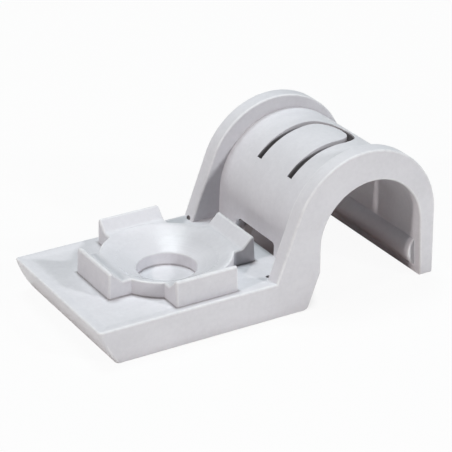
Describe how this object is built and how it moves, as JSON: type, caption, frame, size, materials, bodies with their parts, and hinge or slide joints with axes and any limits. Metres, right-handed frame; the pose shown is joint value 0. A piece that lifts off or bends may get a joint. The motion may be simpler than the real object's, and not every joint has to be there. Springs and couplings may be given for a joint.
{
  "type": "pipe clip",
  "caption": "One-piece plastic half-saddle clip for conduit: flat base pad with a countersunk pin seat between lugs, and a flanged sprung saddle with a snap bead on its free leg.",
  "frame": {"origin": "on the wall plane, under the middle of the pin seat", "axes": "+Z out of the wall along the fixing pin, +X from the pin seat to the pipe, +Y along the pipe"},
  "size_m": [0.0519, 0.025, 0.0212],
  "materials": {
    "clip_plastic": "light grey moulded polyamide, semi-gloss"
  },
  "bodies": {
    "root": {"p_clip": "clip_plastic"}
  },
  "joints": []
}
